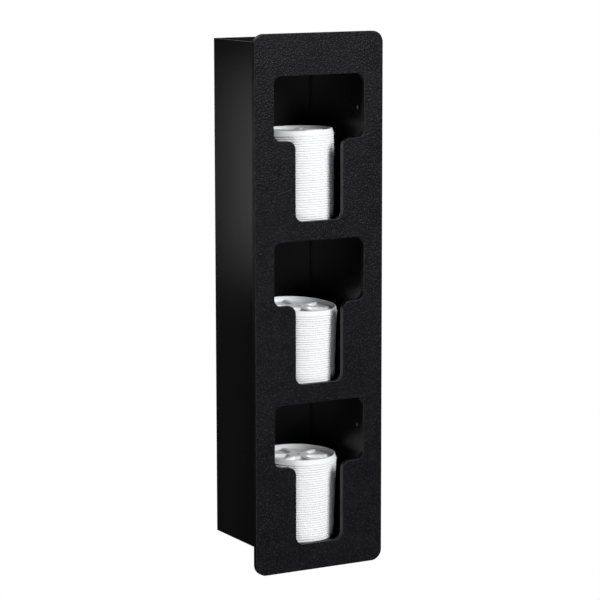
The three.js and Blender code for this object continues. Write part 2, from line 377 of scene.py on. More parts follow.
class NodeBench:
    """Adds nodes to a shader tree and links them."""

    MIX_INPUTS = (0, 6, 7)  # a Mix node's share and its first and second colour
    MIX_RESULT = 2  # a Mix node's colour output

    def __init__(self, tree: bpy.types.NodeTree) -> None:
        """Takes the tree that the nodes go into."""
        self.tree = tree

    def add(self, kind: str, **settings: object) -> bpy.types.Node:
        """Adds a node and sets its properties, such as its operation.

        Args:
            kind: The node's type.
            settings: Its properties by name.

        Returns:
            The new node.
        """
        node = self.tree.nodes.new(kind)
        for name, value in settings.items():
            setattr(node, name, value)
        return node

    def feed(self, node: bpy.types.Node, **inputs: object) -> bpy.types.Node:
        """Feeds a node's inputs, named as on the node with _ for a space, from sockets or plain values.

        Args:
            node: The node.
            inputs: A socket or a plain value for each input's name.

        Returns:
            The same node.
        """
        for name, value in inputs.items():
            self.plug(node.inputs[name.replace("_", " ")], value)
        return node

    def plug(self, socket: bpy.types.NodeSocket, value: object) -> None:
        """Links a socket to another one, or sets its plain value.

        Args:
            socket: The socket that receives.
            value: Another node's socket, or a plain value.
        """
        if isinstance(value, bpy.types.NodeSocket):
            self.tree.links.new(value, socket)
        else:
            socket.default_value = value

    def math(self, operation: str, *values: object) -> bpy.types.NodeSocket:
        """Returns the result of a Math node on up to three values.

        Args:
            operation: The Math node's operation.
            values: Sockets or numbers.

        Returns:
            The node's output.
        """
        node = self.add("ShaderNodeMath", operation=operation)
        for socket, value in zip(node.inputs, values):
            self.plug(socket, value)
        return node.outputs[0]

    def ramp(
        self, value: object, low: float, high: float, start: object, end: object
    ) -> bpy.types.NodeSocket:
        """Returns a value that goes smoothly from start to end while the given one goes from low to high.

        Args:
            value: The given value.
            low: Where the change begins.
            high: Where the change is complete.
            start: The result up to low.
            end: The result from high on.

        Returns:
            The new value.
        """
        node = self.add("ShaderNodeMapRange", interpolation_type="SMOOTHSTEP")
        self.feed(node, Value=value, From_Min=low, From_Max=high, To_Min=start, To_Max=end)
        return node.outputs["Result"]

    def blend(self, share: object, first: Color, second: Color) -> bpy.types.NodeSocket:
        """Returns a colour between two, by a share from 0 to 1.

        Args:
            share: How much of the second colour there is.
            first: One colour.
            second: The other one.

        Returns:
            The blended colour.
        """
        node = self.add("ShaderNodeMix", data_type="RGBA")
        for index, value in zip(self.MIX_INPUTS, (share, first, second)):
            self.plug(node.inputs[index], value)
        return node.outputs[self.MIX_RESULT]


def new_group(
    name: str,
    inputs: dict[str, str],
    outputs: dict[str, str],
    fill: Callable[[NodeBench, bpy.types.Node, bpy.types.Node], None],
) -> bpy.types.NodeTree:
    """Builds a shader node group.

    Args:
        name: The group's name.
        inputs: The kind of socket for each input's name.
        outputs: The kind of socket for each output's name.
        fill: A function that puts the nodes between the group's input and output nodes.

    Returns:
        The new group.
    """
    tree = bpy.data.node_groups.new(name, "ShaderNodeTree")
    for direction, sockets in (("INPUT", inputs), ("OUTPUT", outputs)):
        for label, kind in sockets.items():
            tree.interface.new_socket(label, in_out=direction, socket_type=kind)
    bench = NodeBench(tree)
    fill(bench, bench.add("NodeGroupInput"), bench.add("NodeGroupOutput"))
    return tree


class Effects:
    """The shader node groups that several finishes share, each built once."""

    VALUE = "NodeSocketFloat"
    POINT = "NodeSocketVector"
    CLOUD_DETAIL = 3.0
    CLOUD_ROUGHNESS = 0.55
    CLOUD_SPAN = (0.3, 0.7)  # the part of the noise's range that is spread out
    FINER_PEBBLES = 2.3  # how many small cells lie along one large one
    FINER_SHARE = 0.35  # how high the small cells are, as a share of the large ones
    PEBBLE_SPAN = (0.05, 0.75)  # the distances over which a cell falls from top to valley
    CROWN_SPAN = (0.72, 1.15)  # the heights over which a crown begins to show and is full
    SPECK_RADIUS = (0.04, 0.1)  # a speck's smallest radius in cells, and what chance may add

    def __init__(self) -> None:
        """Builds the groups."""
        self.cloud = new_group(
            "Cloudy Variation",
            {"Vector": self.POINT, "Patches Per Metre": self.VALUE, "Low": self.VALUE, "High": self.VALUE},
            {"Value": self.VALUE},
            self.fill_cloud,
        )
        self.pebble = new_group(
            "Pebble Relief",
            {"Vector": self.POINT, "Pebbles Per Metre": self.VALUE, "Roundness": self.VALUE},
            {"Height": self.VALUE, "Crown": self.VALUE},
            self.fill_pebble,
        )
        self.dust = new_group(
            "Dust Specks",
            {"Vector": self.POINT, "Specks Per Metre": self.VALUE, "Cover": self.VALUE},
            {"Mask": self.VALUE},
            self.fill_dust,
        )

    @staticmethod
    def fill_cloud(bench: NodeBench, given: bpy.types.Node, result: bpy.types.Node) -> None:
        """Soft patches of noise, mapped between a low and a high value.

        Args:
            bench: Where the nodes go.
            given: The group's input node.
            result: The group's output node.
        """
        noise = bench.add("ShaderNodeTexNoise")
        bench.feed(noise, Vector=given.outputs["Vector"], Scale=given.outputs["Patches Per Metre"])
        bench.feed(noise, Detail=Effects.CLOUD_DETAIL, Roughness=Effects.CLOUD_ROUGHNESS)
        ends = given.outputs["Low"], given.outputs["High"]
        spread = bench.ramp(noise.outputs[0], *Effects.CLOUD_SPAN, *ends)
        bench.feed(result, Value=spread)

    @staticmethod
    def fill_pebble(bench: NodeBench, given: bpy.types.Node, result: bpy.types.Node) -> None:
        """Rounded cells of two sizes whose valleys sink, and a mask of the cells' crowns.

        Args:
            bench: Where the nodes go.
            given: The group's input node.
            result: The group's output node.
        """
        heights = []
        for share in (1.0, Effects.FINER_PEBBLES):
            density = bench.math("MULTIPLY", given.outputs["Pebbles Per Metre"], share)
            cells = bench.add("ShaderNodeTexVoronoi", feature="SMOOTH_F1")
            bench.feed(cells, Vector=given.outputs["Vector"], Scale=density)
            bench.feed(cells, Smoothness=given.outputs["Roundness"], Randomness=1.0)
            heights.append(bench.ramp(cells.outputs["Distance"], *Effects.PEBBLE_SPAN, 1.0, 0.0))
        fine = bench.math("MULTIPLY", heights[1], Effects.FINER_SHARE)
        height = bench.math("ADD", heights[0], fine)
        bench.feed(result, Height=height, Crown=bench.ramp(height, *Effects.CROWN_SPAN, 0.0, 1.0))

    @staticmethod
    def fill_dust(bench: NodeBench, given: bpy.types.Node, result: bpy.types.Node) -> None:
        """A few small round specks: the middles of those cells whose random shade is below the cover.

        Args:
            bench: Where the nodes go.
            given: The group's input node.
            result: The group's output node.
        """
        cells = bench.add("ShaderNodeTexVoronoi", feature="F1")
        bench.feed(cells, Vector=given.outputs["Vector"], Scale=given.outputs["Specks Per Metre"])
        shade = bench.add("ShaderNodeSeparateColor")
        bench.feed(shade, Color=cells.outputs["Color"])
        rare = bench.math("LESS_THAN", shade.outputs[0], given.outputs["Cover"])
        smallest, spread = Effects.SPECK_RADIUS
        size = bench.math("MULTIPLY_ADD", shade.outputs[1], spread, smallest)
        spot = bench.math("LESS_THAN", cells.outputs["Distance"], size)
        bench.feed(result, Mask=bench.math("MULTIPLY", rare, spot))


@dataclass(frozen=True)
class Dressing:
    """What a finish works with while it builds its material."""

    bench: NodeBench
    effects: Effects
    shader: bpy.types.Node
    place: bpy.types.NodeSocket

    def group(self, tree: bpy.types.NodeTree, **values: float) -> bpy.types.Node:
        """Returns a placed node group that reads the piece's coordinates and the given values.

        Args:
            tree: The group.
            values: A number for each of its inputs' names.

        Returns:
            The group's node.
        """
        node = self.bench.add("ShaderNodeGroup")
        node.node_tree = tree
        return self.bench.feed(node, Vector=self.place, **values)

    def cloud(self, patches_per_metre: float, low: float = 0.0, high: float = 1.0) -> bpy.types.NodeSocket:
        """Returns a value that wanders between low and high in soft patches."""
        values = {"Patches_Per_Metre": patches_per_metre, "Low": low, "High": high}
        return self.group(self.effects.cloud, **values).outputs[0]

    def raise_surface(self, height: bpy.types.NodeSocket, depth: float, strength: float) -> None:
        """Feeds the shader a normal from a height between 0 and 1 that stands for a real depth.

        Args:
            height: The height over the surface.
            depth: The length that a height of 1 stands for.
            strength: The share of the relief that shows.
        """
        bump = self.bench.add("ShaderNodeBump")
        self.bench.feed(bump, Height=height, Distance=depth, Strength=strength)
        self.bench.plug(self.shader.inputs["Normal"], bump.outputs[0])


@dataclass(frozen=True)
class Finish:
    """What every finish shares: a principled shader whose colour and roughness vary in soft patches."""

    name: str
    dark: Color
    light: Color
    smoother: float
    rougher: float
    specular: float
    patches_per_metre: float
    gloss_patch_size: float = 3.0
    dust_color: Color = (0.32, 0.32, 0.31, 1.0)
    specks_per_metre: float = 120.0
    dust_cover: float = 0.0

    def build(self, effects: Effects) -> bpy.types.Material:
        """Makes the material.

        Args:
            effects: The shared node groups.

        Returns:
            The new material.
        """
        material = bpy.data.materials.new(self.name)
        material.use_nodes = True
        bench = NodeBench(material.node_tree)
        shader = material.node_tree.nodes["Principled BSDF"]
        shader.inputs["Specular IOR Level"].default_value = self.specular
        place = bench.add("ShaderNodeTexCoord").outputs["Object"]
        dressing = Dressing(bench, effects, shader, place)
        color = bench.blend(dressing.cloud(self.patches_per_metre), self.dark, self.light)
        gloss_patches = self.patches_per_metre / self.gloss_patch_size
        roughness = dressing.cloud(gloss_patches, self.smoother, self.rougher)
        color, roughness = self.detail(dressing, color, roughness)
        if self.dust_cover:
            values = {"Specks_Per_Metre": self.specks_per_metre, "Cover": self.dust_cover}
            dust = dressing.group(effects.dust, **values)
            color = bench.blend(dust.outputs[0], color, self.dust_color)
        bench.plug(shader.inputs["Base Color"], color)
        bench.plug(shader.inputs["Roughness"], roughness)
        return material

    def detail(
        self, dressing: Dressing, color: bpy.types.NodeSocket, roughness: bpy.types.NodeSocket
    ) -> tuple[bpy.types.NodeSocket, bpy.types.NodeSocket]:
        """Adds what only this finish has.

        Args:
            dressing: The material's nodes and coordinates.
            color: The colour so far.
            roughness: The roughness so far.

        Returns:
            The finish's colour and roughness. A plain finish changes neither.
        """
        return color, roughness


@dataclass(frozen=True)
class PebbledSheet(Finish):
    """Black sheet with an embossed pebble grain, whose crowns carry a painted highlight in a paler colour and
    are a little polished by handling.
    """

    pebbles_per_metre: float = 430.0
    roundness: float = 0.3
    depth: float = 0.22 * MM
    strength: float = 1.0
    polish: float = 0.1
    # the crowns' paler colour: a painted highlight
    painted_highlight: Color = (0.027, 0.027, 0.032, 1.0)

    def detail(
        self, dressing: Dressing, color: bpy.types.NodeSocket, roughness: bpy.types.NodeSocket
    ) -> tuple[bpy.types.NodeSocket, bpy.types.NodeSocket]:
        """Adds the grain's relief, paints a highlight on its crowns as a paler colour, and makes them
        glossier than its valleys.

        Args:
            dressing: The material's nodes and coordinates.
            color: The colour so far.
            roughness: The roughness so far.

        Returns:
            The colour and roughness with the crowns in them.
        """
        bench = dressing.bench
        values = {"Pebbles_Per_Metre": self.pebbles_per_metre, "Roundness": self.roundness}
        grain = dressing.group(dressing.effects.pebble, **values)
        dressing.raise_surface(grain.outputs["Height"], self.depth, self.strength)
        crown = grain.outputs["Crown"]
        # painted highlight: the crowns turn to a paler colour
        painted_highlight = bench.blend(crown, color, self.painted_highlight)
        return painted_highlight, bench.math("SUBTRACT", roughness, bench.math("MULTIPLY", crown, self.polish))


@dataclass(frozen=True)
class UnevenSheet(Finish):
    """Smooth plastic that isn't quite flat: folded sheet keeps faint waves, and formed lids fine ones."""

    waves_per_metre: float = 14.0
    depth: float = 0.25 * MM
    strength: float = 0.12

    def detail(
        self, dressing: Dressing, color: bpy.types.NodeSocket, roughness: bpy.types.NodeSocket
    ) -> tuple[bpy.types.NodeSocket, bpy.types.NodeSocket]:
        """Adds the waves, and leaves the colour and roughness as they are."""
        dressing.raise_surface(dressing.cloud(self.waves_per_metre), self.depth, self.strength)
        return color, roughness


@dataclass(frozen=True)
class RoutedEdge(Finish):
    """The cut edge of the sheet, with the fine lines that a router leaves through the thickness."""

    lines_per_metre: float = 900.0
    line_detail: float = 2.0
    drawn_out: Place = (1.0, 0.04, 1.0)
    depth: float = 0.03 * MM
    strength: float = 0.5

    def detail(
        self, dressing: Dressing, color: bpy.types.NodeSocket, roughness: bpy.types.NodeSocket
    ) -> tuple[bpy.types.NodeSocket, bpy.types.NodeSocket]:
        """Adds the router's lines, which run through the sheet because the pattern is drawn out along Y.

        Args:
            dressing: The material's nodes and coordinates.
            color: The colour so far.
            roughness: The roughness so far.

        Returns:
            The same colour and roughness.
        """
        bench = dressing.bench
        drawn = bench.add("ShaderNodeMapping", vector_type="POINT")
        bench.feed(drawn, Vector=dressing.place, Scale=self.drawn_out)
        lines = bench.add("ShaderNodeTexNoise")
        bench.feed(lines, Vector=drawn.outputs[0], Scale=self.lines_per_metre, Detail=self.line_detail)
        dressing.raise_surface(lines.outputs[0], self.depth, self.strength)
        return color, roughness


@dataclass(frozen=True)
class Finishes:
    """Every finish of the dispenser, built once."""

    plate: bpy.types.Material
    routed: bpy.types.Material
    housing: bpy.types.Material
    bore: bpy.types.Material
    lid: bpy.types.Material

    @classmethod
    def build(cls, effects: Effects) -> "Finishes":
        """Builds the materials from their finishes.

        Args:
            effects: The shared node groups.

        Returns:
            The dispenser's materials.
        """
        return cls(
            plate=PebbledSheet(
                name="black_pebbled_sheet",
                dark=(0.006, 0.006, 0.007, 1.0),
                light=(0.0088, 0.0088, 0.0102, 1.0),
                smoother=0.34,
                rougher=0.42,
                specular=0.1,
                patches_per_metre=60.0,
                dust_cover=0.012,
            ).build(effects),
            routed=RoutedEdge(
                name="black_routed_edge",
                dark=(0.0085, 0.0085, 0.0085, 1.0),
                light=(0.0125, 0.0125, 0.0125, 1.0),
                smoother=0.42,
                rougher=0.55,
                specular=0.4,
                patches_per_metre=80.0,
            ).build(effects),
            housing=UnevenSheet(
                name="black_satin_sheet",
                dark=(0.0046, 0.0046, 0.0047, 1.0),
                light=(0.0058, 0.0058, 0.006, 1.0),
                smoother=0.27,
                rougher=0.31,
                specular=0.25,
                patches_per_metre=30.0,
                dust_cover=0.01,
            ).build(effects),
            # the pale bore colour is a painted glint inside the screw holes
            bore=Finish(
                name="whitened_drill_bore",
                dark=(0.2, 0.2, 0.2, 1.0),
                light=(0.36, 0.36, 0.36, 1.0),
                smoother=0.5,
                rougher=0.65,
                specular=0.3,
                patches_per_metre=500.0,
            ).build(effects),
            lid=UnevenSheet(
                name="white_formed_plastic",
                dark=(0.91, 0.915, 0.925, 1.0),
                light=(0.935, 0.94, 0.95, 1.0),
                smoother=0.5,
                rougher=0.6,
                specular=0.2,
                patches_per_metre=45.0,
                waves_per_metre=160.0,
                depth=0.05 * MM,
                strength=0.25,
            ).build(effects),
        )


@dataclass
class Housing:
    """The folded-sheet box behind the plate: a U of side and back walls, and four panels between them."""

    fold_radius: float = 1.5 * MM
    inner_fold_radius: float = 0.5 * MM
    fold_groove: float = 1.5 * MM
    groove_ease: float = 0.15 * MM
    corner_clearance: float = 0.3 * MM
    edge_ease: float = 0.4 * MM
    front_corner: float = 0.8 * MM
    hole_radius: float = 2.1 * MM
    hole_setback: float = 13.5 * MM
    hole_heights: tuple[float, float] = (132.0 * MM, 493.5 * MM)
    arc_steps: int = 12
    hole_facets: int = 36
    low: Vector = field(init=False)
    high: Vector = field(init=False)
    sheet: float = field(init=False)
    inner_half: float = field(init=False)
    inner_depth: float = field(init=False)

    def __post_init__(self) -> None:
        """Takes the walls' and panels' places from the frame."""
        self.low, self.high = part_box("housing_wrap")
        panel_low, panel_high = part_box("bottom_panel")
        self.sheet = panel_high.z - panel_low.z
        self.inner_half = panel_high.x
        self.inner_depth = panel_high.y

    def wall_outline(self) -> Outline:
        """Returns the U seen from above: the outside from the right front, then back along the inside.

        The groove that let each inner corner fold stays open as a notch: it reaches the groove's width
        along both walls, and half of that beyond the corner.

        Returns:
            The outline of the walls' sheet.
        """
        outer, inner = self.high.x, self.inner_half
        depth, inner_depth = self.high.y, self.inner_depth
        ease, fold, lip = self.edge_ease, self.fold_radius, self.groove_ease
        near_x, near_y = inner - self.fold_groove, inner_depth - self.fold_groove
        far_x, far_y = inner + self.fold_groove / 2, inner_depth + self.fold_groove / 2
        corners = [
            Corner(outer, 0, ease),
            Corner(outer, depth, fold),
            Corner(-outer, depth, fold),
            Corner(-outer, 0, ease),
            Corner(-inner, 0, ease),
            Corner(-inner, near_y, lip),
            Corner(-far_x, far_y, lip),
            Corner(-near_x, inner_depth, lip),
            Corner(near_x, inner_depth, lip),
            Corner(far_x, far_y, lip),
            Corner(inner, near_y, lip),
            Corner(inner, 0, ease),
        ]
        return round_outline(corners, self.arc_steps)

    def panel_outline(self) -> Outline:
        """Returns a panel seen from above, its back corners eased to pass the folds.

        The front corners are rounder than the edge is eased, so that the eased edge doesn't close up.

        Returns:
            The outline of a panel's sheet.
        """
        half, depth = self.inner_half, self.inner_depth
        pass_radius = self.inner_fold_radius + self.corner_clearance
        corners = [
            Corner(-half, 0, self.front_corner),
            Corner(half, 0, self.front_corner),
            Corner(half, depth, pass_radius),
            Corner(-half, depth, pass_radius),
        ]
        return round_outline(corners, self.arc_steps)

    def level_sheet(self, outline: Outline, top: float, thickness: float) -> Surface:
        """Returns a sheet whose outline lies level, with its upper face at a height."""
        plane = DrawingPlane((0, 0, top), (1, 0, 0), (0, 1, 0))
        return cut_sheet([outline], plane, EasedEdge(thickness, self.edge_ease))

    def drill(self, walls: bpy.types.Object, bore: bpy.types.Material) -> None:
        """Drills the screw holes through both side walls, and keeps the result as the walls' mesh.

        Each drill is a circle of the hole's radius carried along X, past both walls. The cut faces get their
        own pale finish, a painted glint inside the holes.

        Args:
            walls: The walls, whose mesh is changed.
            bore: The finish of the cut faces.
        """
        reach = self.high.x + self.sheet
        angle = np.linspace(0, 2 * math.pi, self.hole_facets, endpoint=False)
        circle = Outline(
            self.hole_radius * np.stack([np.cos(angle), np.sin(angle)], axis=1),
            np.stack([np.cos(angle), np.sin(angle)], axis=1),
        )
        linked = bpy.context.scene.collection.objects
        for height in self.hole_heights:
            plane = DrawingPlane((reach, self.hole_setback, height), (0, 1, 0), (0, 0, 1))
            rod = cut_sheet([circle], plane, EasedEdge(2 * reach, self.edge_ease))
            tool = rod.to_object("drill", [bore])
            cut = walls.modifiers.new("hole", "BOOLEAN")
            cut.operation, cut.solver, cut.object = "DIFFERENCE", "EXACT", tool
            cut.material_mode = "TRANSFER"
            depsgraph = bpy.context.evaluated_depsgraph_get()
            drilled = bpy.data.meshes.new_from_object(walls.evaluated_get(depsgraph))
            walls.modifiers.clear()
            walls.data = drilled
            linked.unlink(tool)
            bpy.data.objects.remove(tool)

    def build(self, finishes: Finishes) -> None:
        """Makes the walls and the panels.

        Args:
            finishes: The dispenser's materials.
        """
        height = self.high.z - self.low.z
        walls = self.level_sheet(self.wall_outline(), self.high.z, height)
        piece = walls.to_object("folded_housing", [finishes.housing])
        self.drill(piece, finishes.bore)
        even_shading(piece)
        settle_in(piece, "housing", Slot.HOUSING, "housing_wrap")
        for node in ("bottom_panel", "lower_shelf", "upper_shelf", "top_panel"):
            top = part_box(node)[1].z
            panel = self.level_sheet(self.panel_outline(), top, self.sheet)
            piece = panel.to_object(f"{node}_sheet", [finishes.housing])
            even_shading(piece)
            settle_in(piece, "housing", Slot.HOUSING, node)


@dataclass
class Faceplate:
    """The pebbled plate with three T-shaped apertures, a window over a narrower finger slot in each."""

    corner_radius: float = 12.7 * MM
    aperture_radius: float = 9.5 * MM
    window_margin: float = 3.3 * MM
    window_height: float = 71.6 * MM
    slot_width: float = 60.0 * MM
    slot_height: float = 89.7 * MM
    slot_sill: float = 3.3 * MM
    edge_ease: float = 0.45 * MM
    arc_steps: int = 14
    low: Vector = field(init=False)
    high: Vector = field(init=False)

    def __post_init__(self) -> None:
        """Takes the plate's box from the frame."""
        self.low, self.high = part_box("faceplate")

    def outline(self) -> Outline:
        """Returns the plate's own outline.

        Returns:
            The outline, without the apertures.
        """
        radius = self.corner_radius
        corners = [
            Corner(self.low.x, self.low.z, radius),
            Corner(self.high.x, self.low.z, radius),
            Corner(self.high.x, self.high.z, radius),
            Corner(self.low.x, self.high.z, radius),
        ]
        return round_outline(corners, self.arc_steps)

    def aperture(self, floor: float, inner_half: float) -> Outline:
        """Draws one aperture, walked so that the plate stays on the left.

        Args:
            floor: The height of the compartment's floor.
            inner_half: Half the housing's inner width.

        Returns:
            The aperture's outline.
        """
        slot, window = self.slot_width / 2, inner_half - self.window_margin
        sill = floor + self.slot_sill
        shoulder = sill + self.slot_height
        head = shoulder + self.window_height
        right = [(slot, sill), (slot, shoulder), (window, shoulder), (window, head)]
        left = [(-across, height) for across, height in reversed(right)]
        walked = [Corner(across, height, self.aperture_radius) for across, height in [*right, *left]]
        return round_outline(walked[::-1], self.arc_steps)

    def build(self, housing: Housing, finishes: Finishes) -> None:
        """Makes the plate, with its cut edges in their own finish.

        Args:
            housing: The housing that the apertures open into.
            finishes: The dispenser's materials.
        """
        floors = [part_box(node)[1].z for node in ("bottom_panel", "lower_shelf", "upper_shelf")]
        outlines = [self.outline(), *(self.aperture(floor, housing.inner_half) for floor in floors)]
        plane = DrawingPlane((0, self.low.y, 0), (1, 0, 0), (0, 0, 1))
        edge = EasedEdge(self.high.y - self.low.y, self.edge_ease)
        sheet = cut_sheet(outlines, plane, edge, edge_finish=1)
        piece = sheet.to_object("pebbled_faceplate", [finishes.plate, finishes.routed])
        even_shading(piece)
        settle_in(piece, "housing", Slot.PLATE, "faceplate")


@dataclass(frozen=True)
class LidForm:
    """One formed lid: thin sheet with a beaded skirt, a raised rim, and ribs round a hub in its recess."""

    radius: float = 44.025 * MM
    height: float = 6.5 * MM
    sheet: float = 0.4 * MM
    draft: float = math.radians(15.1)
    nest_clearance: float = 0.3 * MM
    bead_height: float = 1.3 * MM
    bead_step: float = 0.6 * MM
    rim_width: float = 1.3 * MM
    recess_depth: float = 5.2 * MM
    rib_count: int = 6
    rib_height: float = 3.0 * MM
    rib_foot_width: float = 8.0 * MM
    rib_end_margin: float = 6.0 * MM
    rib_draft: float = math.radians(16.0)
    hub_radius: float = 13.0 * MM
    innermost: float = 2.0 * MM
    rounding: float = 0.35 * MM
    inner_rounding: float = 0.14 * MM
    foot_fillet: float = 1.2 * MM
    arc_steps: int = 4
    plain_arc_steps: int = 2
    plain_inner_arc_steps: int = 1
    plain_stations: int = 90
    hub_rows: int = 5
    side_rows: int = 5
    middle_rows: int = 7
    side_stations: int = 4
    web_stations: int = 10

    @property
    def pitch(self) -> float:
        """Returns how far apart nested lids lie, from their sheet, clearance and draft."""
        return (self.sheet + self.nest_clearance) / math.sin(self.draft)

    @property
    def recess_foot(self) -> float:
        """Returns the radius where the recess wall meets the recess floor."""
        return self.rim_inner - self.recess_depth * math.tan(self.draft)

    @property
    def skirt_foot(self) -> tuple[float, float]:
        """Returns the radius and height where the skirt meets its bead."""
        return self.radius - self.bead_step, self.bead_height + self.bead_step / 2

    @property
    def rim_outer(self) -> float:
        """Returns the radius of the rim's outer edge."""
        radius, height = self.skirt_foot
        return radius - (self.height - height) * math.tan(self.draft)

    @property
    def rim_inner(self) -> float:
        """Returns the radius of the rim's inner edge."""
        return self.rim_outer - self.rim_width

    @property
    def rib_run(self) -> float:
        """Returns how wide the drafted side of a rib is, seen from above."""
        return self.rib_height * math.tan(self.rib_draft)

    def mitre(self, draft: float) -> float:
        """Returns the sideways distance between a corner outside and the same corner inside the sheet."""
        return self.sheet * (1 - math.sin(draft)) / math.cos(draft)

    def upper_section(self, steps: int) -> np.ndarray:
        """Returns the outside from the recess floor over the rim to the bead's foot, as (radius, height).

        Straight sides join the corners, and an arc rounds each.

        Args:
            steps: How many straight pieces stand for each arc.

        Returns:
            Rows of (radius, height).
        """
        foot_radius, foot_height = self.skirt_foot
        floor = self.height - self.recess_depth
        corners = [
            Corner(self.hub_radius, floor, 0),
            Corner(self.recess_foot, floor, self.foot_fillet),
            Corner(self.rim_inner, self.height, self.rounding),
            Corner(self.rim_outer, self.height, self.rounding),
            Corner(foot_radius, foot_height, self.rounding),
            Corner(self.radius, self.bead_height, self.rounding),
            Corner(self.radius, 0, self.rounding),
            Corner(self.inner_foot, 0, 0),
        ]
        return round_path(corners, steps)[1:-1]

    @property
    def inner_foot(self) -> float:
        """Returns the radius of the skirt's inside at its foot."""
        radius, height = self.skirt_foot
        return radius + height * math.tan(self.draft) - self.sheet / math.cos(self.draft)

    def under_section(self, steps: int) -> np.ndarray:
        """Returns the inside from the skirt's foot to the floor's underside, as (radius, height).

        It runs one sheet inside the outer section, so its corners at the rim and at the recess's foot lie a
        mitre's distance to the side.

        Args:
            steps: How many straight pieces stand for each arc.

        Returns:
            Rows of (radius, height).
        """
        mitre = self.mitre(self.draft)
        shoulder = self.height - self.sheet
        floor = shoulder - self.recess_depth
        corners = [
            Corner(self.radius, 0, 0),
            Corner(self.inner_foot, 0, self.inner_rounding),
            Corner(self.rim_outer - mitre, shoulder, self.inner_rounding),
            Corner(self.rim_inner + mitre, shoulder, self.inner_rounding),
            Corner(self.recess_foot + mitre, floor, self.foot_fillet - self.sheet),
            Corner(self.hub_radius, floor, 0),
        ]
        return round_path(corners, steps)[1:-1]

    def floor_radii(self, inset: float) -> np.ndarray:
        """Returns radii across the recess floor that follow the sides of the hub and the ribs' ends.

        Args:
            inset: How far the feet have moved in, which is more than 0 on the underside.

        Returns:
            The radii, from the middle out.
        """
        side = np.linspace(0, self.rib_run, self.side_rows)
        rib_end = self.recess_foot - self.rib_end_margin
        hub = np.linspace(self.innermost, self.hub_radius - inset, self.hub_rows, endpoint=False)
        hub_side = self.hub_radius - inset + side
        middle = np.linspace(hub_side[-1], rib_end - self.rib_run - inset, self.middle_rows + 2)[1:-1]
        end_side = rib_end - self.rib_run - inset + side
        outer = np.array([rib_end + self.rib_end_margin / 2])
        return np.concatenate([hub, hub_side, middle, end_side, outer])

    def relief(self, radius: np.ndarray, offset: np.ndarray, inset: np.ndarray) -> np.ndarray:
        """Works out how far the hub and ribs stand above the recess floor.

        A point's depth is how far it lies inside the foot of the nearest rib, or of the hub if that is
        more. The depth's share of the drafted side's width is cut off at 0 and 1. The height is the rib's
        height times the mean of that share and its smooth step, three times its square less twice its
        cube, so that both ends are eased.

        Args:
            radius: Each point's distance from the middle.
            offset: Each point's sideways distance from the middle line of the nearest rib.
            inset: How far the feet have moved in, which is more than 0 on the underside.

        Returns:
            The heights.
        """
        rib_end = self.recess_foot - self.rib_end_margin
        in_rib = np.minimum(self.rib_foot_width / 2 - np.abs(offset), rib_end - radius)
        in_hub = self.hub_radius + self.rib_run - radius
        share = np.clip((np.maximum(in_rib, in_hub) - inset) / self.rib_run, 0, 1)
        eased = share * share * (3 - 2 * share)
        return self.rib_height * (share + eased) / 2

    def ribbed_angles(self, radius: np.ndarray, inset: np.ndarray) -> tuple[np.ndarray, np.ndarray]:
        """Spreads stations so that some run along the ribs' sides.

        In each rib's sector the first stations keep a fixed offset from the rib's middle line, so their
        angle is the arc sine of the offset over the radius. The others share out the web between two
        ribs evenly. Inside the hub every station keeps its angle.

        Args:
            radius: The radius of each row, as a column.
            inset: How far the ribs' feet have moved in on each row, as a column.

        Returns:
            The angle and the offset from the nearest rib of each point, by row and station.
        """
        foot = self.rib_foot_width / 2
        side = foot - np.linspace(0, self.rib_run, self.side_stations)
        across = np.concatenate([-side, [-side[-1] / 2, 0, side[-1] / 2], side[::-1]])
        web = np.linspace(0, 1, self.web_stations + 2)[1:-1]
        sector = 2 * math.pi / self.rib_count
        held = np.maximum(radius, self.hub_radius)
        foot_angle = np.arcsin((foot - inset) / held)
        on_rib = np.arcsin((across * (1 - inset / foot)) / held)
        on_web = foot_angle + web * (sector - 2 * foot_angle)
        local = np.concatenate([on_rib, on_web], axis=1)
        nearest = np.minimum(np.abs(local), sector - np.abs(local))
        turned = local[:, None, :] + (sector * np.arange(self.rib_count))[None, :, None]
        offset = np.broadcast_to(radius[:, :, None] * np.sin(nearest)[:, None, :], turned.shape)
        return turned.reshape(len(radius), -1), offset.reshape(len(radius), -1)

    def shell(self, ribbed: bool) -> np.ndarray:
        """Works out the lid's closed skin as one grid, from the hub over the rim and back underneath.

        The section is carried round the axis: at the angle a, a point is (radius cos a, radius sin a,
        height), and the ribs' relief is added to its height.

        Args:
            ribbed: Whether it shows its ribs. A lid that is hidden in a stack keeps a plain floor.

        Returns:
            Points by row, station and (x, y, z), with the lid's foot at height 0.
        """
        floor = self.height - self.recess_depth
        inset = self.mitre(self.rib_draft)
        upper = self.upper_section(self.arc_steps if ribbed else self.plain_arc_steps)
        under = self.under_section(self.arc_steps if ribbed else self.plain_inner_arc_steps)
        inner = self.floor_radii(0) if ribbed else np.array([self.innermost])
        inner_under = self.floor_radii(inset) if ribbed else inner
        top = np.stack([inner, np.full(len(inner), floor)], axis=1)
        bottom = np.stack([inner_under[::-1], np.full(len(inner_under), floor - self.sheet)], axis=1)
        section = np.vstack([top, upper, under, bottom])
        radius, height = section[:, :1], section[:, 1:]
        beneath = (np.arange(len(section)) >= len(top) + len(upper))[:, None]
        if ribbed:
            shift = inset * beneath
            angle, offset = self.ribbed_angles(radius, shift)
            height = height + self.relief(radius, offset, shift)
        else:
            angle = np.linspace(0, 2 * math.pi, self.plain_stations, endpoint=False)[None, :]
        skin = np.broadcast_arrays(radius * np.cos(angle), radius * np.sin(angle), height)
        return np.stack(skin, axis=2)


